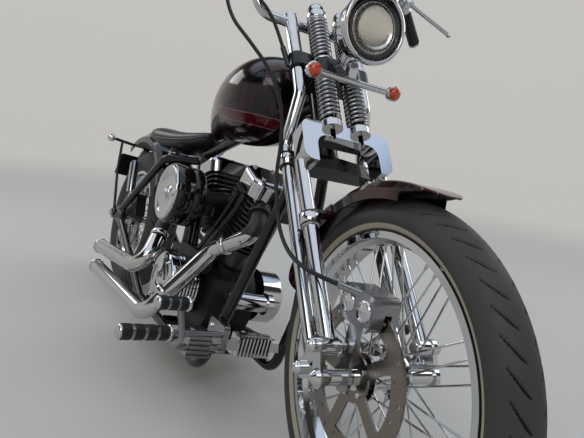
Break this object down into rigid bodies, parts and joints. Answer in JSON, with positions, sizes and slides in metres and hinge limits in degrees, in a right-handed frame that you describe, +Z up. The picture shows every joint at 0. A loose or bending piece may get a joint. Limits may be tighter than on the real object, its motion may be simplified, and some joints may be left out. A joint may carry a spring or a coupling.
{
  "type": "chopper motorcycle",
  "caption": "Low custom motorcycle with a springer fork, high bars, wire wheels, open V-twin and solo saddle, leaning on its side stand.",
  "frame": {"origin": "middle of the parked machine's footprint, on the ground", "axes": "+X ahead along the machine, +Y to the rider's left, +Z up; the machine leans left on its stand"},
  "size_m": [2.3414, 0.9834, 1.2915],
  "materials": {
    "chrome": "polished",
    "black_paint": "gloss",
    "engine_black": "satin",
    "steel": "brushed",
    "forged_alloy": "polished",
    "tyre_rubber": "matte",
    "rubber": "matte",
    "leather": "smooth",
    "lens": "clear",
    "lamp_body": "gloss"
  },
  "bodies": {
    "frame": {"air_cleaner": "chrome", "cam_cover": "chrome", "crankcase": "engine_black", "cylinders": "engine_black", "drive_belt": "rubber", "exhaust_front": "chrome", "exhaust_rear": "chrome", "foot_controls_left": "forged_alloy", "foot_controls_right": "forged_alloy", "frame_backbone": "black_paint", "frame_cradle_left": "black_paint", "frame_cradle_right": "black_paint", "frame_rear": "black_paint", "fuel_tank": "black_paint", "gearbox": "engine_black", "intake": "engine_black", "oil_filter": "chrome", "oil_tank": "black_paint", "plate_bracket": "chrome", "primary_cover": "chrome", "pushrod_tubes": "chrome", "rear_axle": "chrome", "rear_brake": "black_paint", "rear_fender": "black_paint", "rear_lamps": "lamp_body", "rear_struts": "chrome", "rocker_boxes": "chrome", "seat": "leather", "seat_mount": "black_paint", "stand_bracket": "black_paint", "voltage_regulator": "black_paint"},
    "steering": {"rigid_fork_legs": "chrome", "triple_trees": "black_paint", "sprung_fork": "chrome", "fork_rockers": "chrome", "front_axle": "chrome", "fork_springs": "chrome", "handlebar": "chrome", "handlebar_risers": "chrome", "grips": "rubber", "hand_levers": "chrome", "headlight_shell": "chrome", "headlight_lens": "lens", "front_signals": "chrome", "front_fender": "black_paint", "front_caliper": "chrome", "brake_hose": "rubber", "throttle_cable": "rubber"},
    "front_wheel": {"front_tyre": "tyre_rubber", "front_rim": "chrome", "front_hub_spokes": "chrome", "front_rotor": "steel"},
    "rear_wheel": {"rear_tyre": "tyre_rubber", "rear_rim": "chrome", "rear_hub_spokes": "chrome", "rear_pulley": "steel", "rear_rotor": "steel"},
    "side_stand": {"side_stand": "black_paint"}
  },
  "joints": [
    {"name": "steering_head", "type": "hinge", "parent": "frame", "child": "steering", "pos_m": [0.32757, 0.02239, 0.89556], "axis": [-0.5843, 0.1452, 0.7985], "range_deg": [-14, 31]},
    {"name": "front_wheel_spin", "type": "hinge", "parent": "steering", "child": "front_wheel", "pos_m": [0.8279, -0.08969, 0.34374], "axis": [0.1201, 0.9885, -0.0919], "continuous": true},
    {"name": "rear_wheel_spin", "type": "hinge", "parent": "frame", "child": "rear_wheel", "pos_m": [-0.82452, -0.08345, 0.31217], "axis": [0.0002, 0.9839, -0.1788], "continuous": true},
    {"name": "side_stand_hinge", "type": "hinge", "parent": "frame", "child": "side_stand", "pos_m": [-0.12432, 0.03142, 0.09473], "axis": [0.0478, 0.457, 0.8882], "range_deg": [0, 114]}
  ]
}
